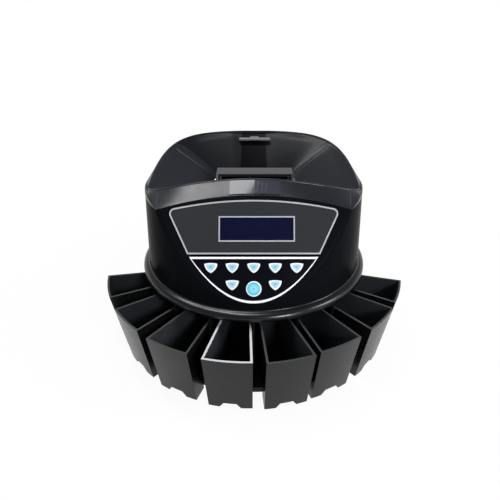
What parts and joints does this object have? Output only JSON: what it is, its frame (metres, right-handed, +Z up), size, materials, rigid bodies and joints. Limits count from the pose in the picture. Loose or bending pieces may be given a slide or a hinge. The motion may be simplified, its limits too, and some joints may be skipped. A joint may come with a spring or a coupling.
{
  "type": "coin sorting machine",
  "caption": "Countertop coin sorter: round black drum with open hopper, sloping display and key panel, and pull-out coin boxes in bays round the front.",
  "frame": {"origin": "on the table, under the middle of the whole machine (centre of its bounding box in plan)", "axes": "+Z up, -Y towards the user (display and coin boxes), +X to the right seen from the front"},
  "size_m": [0.3471, 0.3288, 0.2091],
  "materials": {
    "housing_plastic": "moulded black plastic, satin to glossy",
    "base_plastic": "moulded black plastic, fine texture",
    "box_plastic": "moulded black plastic, satin",
    "foot_rubber": "moulded rubber",
    "steel": "turned or rolled steel",
    "panel_steel": "grey powder coat",
    "bracket_steel": "dark painted sheet steel",
    "disc_aluminium": "turned aluminium",
    "inner_plastic": "moulded dark grey plastic",
    "belt_rubber": "rubber belt",
    "board_green": "circuit board with solder mask",
    "contact_brass": "plated contacts",
    "smoke_panel": "dark smoke acrylic",
    "trim_silver": "printed light grey line",
    "trim_white": "printed white line",
    "screen_blue": "unlit dark blue screen",
    "key_face": "pale blue key",
    "start_face": "cyan key",
    "keypad_black": "black overlay",
    "plate_grey": "polished blank plate"
  },
  "bodies": {
    "base": {"base_plate": "base_plastic", "rubber_feet": "foot_rubber", "base_screws": "steel", "lower_housing": "housing_plastic", "bay_dividers": "housing_plastic", "rear_panel": "panel_steel", "power_inlet": "base_plastic", "switch_frame": "base_plastic", "fuse_holder": "base_plastic", "display_port": "steel", "chute_deck": "inner_plastic", "coin_sensors": "board_green", "sorting_rail": "steel", "upper_bearing": "steel", "lower_bearing": "steel", "bearing_tower": "disc_aluminium", "drive_belt": "belt_rubber", "drive_motor": "steel", "motor_bracket": "panel_steel", "main_board": "board_green", "power_supply": "panel_steel", "upper_housing": "housing_plastic", "display_window": "smoke_panel", "window_trim": "trim_silver", "screen_frame": "trim_silver", "lcd_module": "screen_blue", "keypad_panel": "keypad_black", "keypad_trim": "trim_white", "keypad_board": "board_green"},
    "hopper_unit": {"hopper": "housing_plastic", "nameplate": "plate_grey", "gate_bracket": "bracket_steel", "gate_screws": "steel", "gate_pin": "steel"},
    "gate": {"feed_gate": "bracket_steel"},
    "latch": {"hopper_latch": "inner_plastic"},
    "disc": {"sorting_disc": "disc_aluminium", "disc_hub_nut": "inner_plastic", "disc_shaft": "steel", "disc_pulley": "inner_plastic"},
    "motor": {"motor_pulley": "inner_plastic", "motor_shaft": "steel"},
    "rocker": {"power_switch": "base_plastic"},
    "key_1_body": {"key_1": "key_face"},
    "key_2_body": {"key_2": "key_face"},
    "key_3_body": {"key_3": "key_face"},
    "key_4_body": {"key_4": "key_face"},
    "key_5_body": {"key_5": "key_face"},
    "key_6_body": {"key_6": "key_face"},
    "key_7_body": {"key_7": "key_face"},
    "start_key_body": {"start_key": "start_face"},
    "box_1": {"coin_box_1": "box_plastic"},
    "box_2": {"coin_box_2": "box_plastic"},
    "box_3": {"coin_box_3": "box_plastic"},
    "box_4": {"coin_box_4": "box_plastic"},
    "box_5": {"coin_box_5": "box_plastic"},
    "box_6": {"coin_box_6": "box_plastic"},
    "box_7": {"coin_box_7": "box_plastic"},
    "box_8": {"coin_box_8": "box_plastic"}
  },
  "joints": [
    {"name": "disc_spin", "type": "hinge", "parent": "base", "child": "disc", "pos_m": [0, 0.0154, 0.09], "axis": [0, 0, 1], "continuous": true},
    {"name": "motor_spin", "type": "hinge", "parent": "base", "child": "motor", "pos_m": [-0.056, 0.0154, 0.084], "axis": [0, 0, 1], "continuous": true},
    {"name": "hopper_lift", "type": "slide", "parent": "base", "child": "hopper_unit", "axis": [0, 0, 1], "range_m": [0, 0.08]},
    {"name": "gate_swing", "type": "hinge", "parent": "hopper_unit", "child": "gate", "pos_m": [0, -0.0046, 0.19], "axis": [1, 0, 0], "range_deg": [0, 60]},
    {"name": "latch_pull", "type": "slide", "parent": "hopper_unit", "child": "latch", "axis": [0, -1, 0], "range_m": [0, 0.004], "stiffness_N_per_m": 150, "springref_m": -0.003},
    {"name": "rocker_tip", "type": "hinge", "parent": "base", "child": "rocker", "pos_m": [-0.016, 0.1364, 0.042], "axis": [1, 0, 0], "range_deg": [0, 18]},
    {"name": "key_1_press", "type": "slide", "parent": "base", "child": "key_1_body", "axis": [0, 0.8192, -0.5736], "range_m": [0, 0.0008], "stiffness_N_per_m": 400, "springref_m": -0.001},
    {"name": "key_2_press", "type": "slide", "parent": "base", "child": "key_2_body", "axis": [0, 0.8192, -0.5736], "range_m": [0, 0.0008], "stiffness_N_per_m": 400, "springref_m": -0.001},
    {"name": "key_3_press", "type": "slide", "parent": "base", "child": "key_3_body", "axis": [0, 0.8192, -0.5736], "range_m": [0, 0.0008], "stiffness_N_per_m": 400, "springref_m": -0.001},
    {"name": "key_4_press", "type": "slide", "parent": "base", "child": "key_4_body", "axis": [0, 0.8192, -0.5736], "range_m": [0, 0.0008], "stiffness_N_per_m": 400, "springref_m": -0.001},
    {"name": "key_5_press", "type": "slide", "parent": "base", "child": "key_5_body", "axis": [0, 0.8192, -0.5736], "range_m": [0, 0.0008], "stiffness_N_per_m": 400, "springref_m": -0.001},
    {"name": "key_6_press", "type": "slide", "parent": "base", "child": "key_6_body", "axis": [0, 0.8192, -0.5736], "range_m": [0, 0.0008], "stiffness_N_per_m": 400, "springref_m": -0.001},
    {"name": "key_7_press", "type": "slide", "parent": "base", "child": "key_7_body", "axis": [0, 0.8192, -0.5736], "range_m": [0, 0.0008], "stiffness_N_per_m": 400, "springref_m": -0.001},
    {"name": "start_press", "type": "slide", "parent": "base", "child": "start_key_body", "axis": [0, 0.8192, -0.5736], "range_m": [0, 0.0008], "stiffness_N_per_m": 400, "springref_m": -0.001},
    {"name": "box_1_pull", "type": "slide", "parent": "base", "child": "box_1", "axis": [-0.9516, -0.3074, 0], "range_m": [0, 0.1]},
    {"name": "box_2_pull", "type": "slide", "parent": "base", "child": "box_2", "axis": [-0.742, -0.6704, 0], "range_m": [0, 0.1]},
    {"name": "box_3_pull", "type": "slide", "parent": "base", "child": "box_3", "axis": [-0.4602, -0.8878, 0], "range_m": [0, 0.1]},
    {"name": "box_4_pull", "type": "slide", "parent": "base", "child": "box_4", "axis": [-0.108, -0.9942, 0], "range_m": [0, 0.1]},
    {"name": "box_5_pull", "type": "slide", "parent": "base", "child": "box_5", "axis": [0.2317, -0.9728, 0], "range_m": [0, 0.1]},
    {"name": "box_6_pull", "type": "slide", "parent": "base", "child": "box_6", "axis": [0.4679, -0.8838, 0], "range_m": [0, 0.1]},
    {"name": "box_7_pull", "type": "slide", "parent": "base", "child": "box_7", "axis": [0.7478, -0.6639, 0], "range_m": [0, 0.1]},
    {"name": "box_8_pull", "type": "slide", "parent": "base", "child": "box_8", "axis": [0.9205, -0.3907, 0], "range_m": [0, 0.1]}
  ],
  "couplings": [
    {"joint": "motor_spin", "follows": "disc_spin", "ratio": 4}
  ]
}
